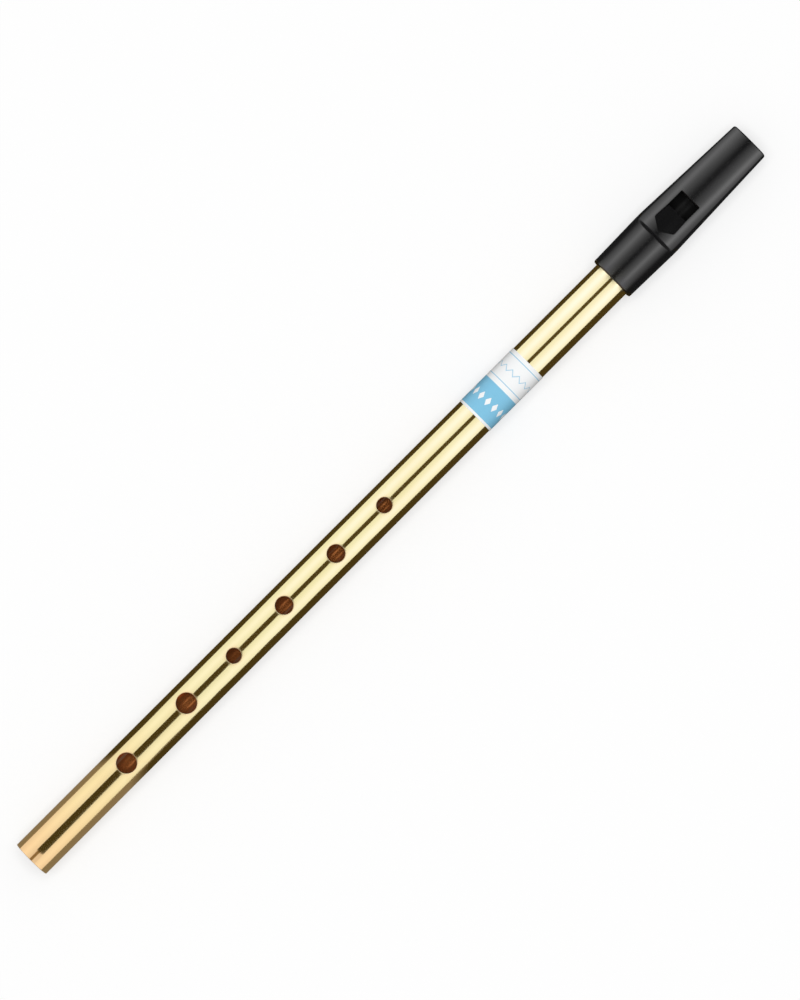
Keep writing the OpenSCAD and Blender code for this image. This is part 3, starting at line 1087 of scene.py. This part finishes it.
def small_tent(name, ends, r, roll, stripes, ground, extra=lambda x, angle: 1):
    """A tent between two places along the whistle, and the floor inside it"""
    angles = spans(-TENT_LOW, TENT_LOW, 2)
    rows, colours = [], []
    for x in spans(*ends, 3):
        rows.append([round_point(x, angle - roll, r) for angle in angles])
        levels = [between(abs(angle), *stripes[angle < 0]) * extra(x, angle) for angle in angles]
        colours.append([[level] * 3 for level in levels])
    stage_piece(name, rows, colours)
    floor_rows = [[(x, y, flag_z + 0.05) for y, level in ground] for x in ends]
    stage_piece(name + "_floor", floor_rows, [[[level] * 3 for y, level in ground]] * 2)


socket_stripes = (LEFT_OF_SOCKET, RIGHT_OF_SOCKET)
beak_stripes = (LEFT_OF_BEAK, RIGHT_OF_BEAK)
small_tent("socket_tent", SOCKET_TENT_X, SOCKET_TENT_R, CAMERA_ROLL, socket_stripes, SOCKET_FLOOR)
small_tent("beak_tent", BEAK_TENT_X, BEAK_TENT_R, 0, beak_stripes, BEAK_FLOOR, beak_tip)
end_rows = [[(BEAK_TENT_END_X, y, z) for y in (-BEAK_TENT_R, BEAK_TENT_R)] for z, level in BEAK_END]
stage_piece("beak_tent_end", end_rows, [[[level] * 3] * 2 for z, level in BEAK_END])

# A small card near the foot, which ends the dark line in the tube's top and leaves a narrow brown one
SLIT_END_X, SLIT_CARD_Z = 2.5, 20
SLIT_BROWN = (0.29, 0.16, 0.07)
slit_glow = [value * 0.8 for value in tent_glow(-66, HOT_ANGLE)]
card_ys = (4.6, 2.4, 1.9, -2.6, -3.1, -10.5)
card_colours = [slit_glow, slit_glow, SLIT_BROWN, SLIT_BROWN, slit_glow, slit_glow]
card_rows = [[(x, y, SLIT_CARD_Z) for y in card_ys] for x in (FLAG_FAR_X, SLIT_END_X)]
stage_piece("slit_end", card_rows, [card_colours] * 2)


# The floor's own colour, what it glows with where it is seen, and the light of the lamp and the room
FLOOR_COLOUR = (0.42, 0.42, 0.42, 1)
FLOOR_LIFT = 0.56
LAMP_SIZE, LAMP_Z, LAMP_POWER = 1600, 2600, 44
ROOM_LIGHT = 0.45


def floor():
    """A white floor that keeps the whistle's shadow"""
    reach = 8000
    mesh = bpy.data.meshes.new("floor")
    corners = [(-reach, -reach), (reach, -reach), (reach, reach), (-reach, reach)]
    mesh.from_pydata([(x * MM, y * MM, LOWEST_Z * MM) for x, y in corners], [], [(0, 1, 2, 3)])
    material, tree, shader = new_material("floor_white")
    shader.inputs["Base Color"].default_value = FLOOR_COLOUR
    shader.inputs["Roughness"].default_value = 1.0
    shader.inputs["Specular IOR Level"].default_value = 0.0
    shader.inputs["Emission Color"].default_value = (1, 1, 1, 1)
    path = add(tree, "ShaderNodeLightPath").outputs
    seen = math_node(tree, "MAXIMUM", path["Is Camera Ray"], path["Is Glossy Ray"])
    seen = math_node(tree, "MAXIMUM", seen, path["Is Transmission Ray"])
    lift = math_node(tree, "MULTIPLY", seen, FLOOR_LIFT)
    tree.links.new(lift, shader.inputs["Emission Strength"])
    mesh.materials.append(material)
    piece = bpy.data.objects.new("floor", mesh)
    bpy.context.scene.collection.objects.link(piece)


def lamp():
    """A large soft lamp overhead, above the camera"""
    light = bpy.data.lights.new("overhead_lamp", "AREA")
    light.shape = "SQUARE"
    light.size = LAMP_SIZE * MM
    light.energy = LAMP_POWER
    piece = bpy.data.objects.new("overhead_lamp", light)
    piece.location = (CAMERA_AIM_X * MM, 0, LAMP_Z * MM)
    piece.visible_camera = False
    piece.visible_glossy = False
    bpy.context.scene.collection.objects.link(piece)


floor()
lamp()
world = bpy.data.worlds.new("white_room")
bpy.context.scene.world = world
world.use_nodes = True
room = world.node_tree.nodes["Background"]
room.inputs["Color"].default_value = (1, 1, 1, 1)
room.inputs["Strength"].default_value = ROOM_LIGHT

bpy.context.scene.view_settings.view_transform = "Standard"
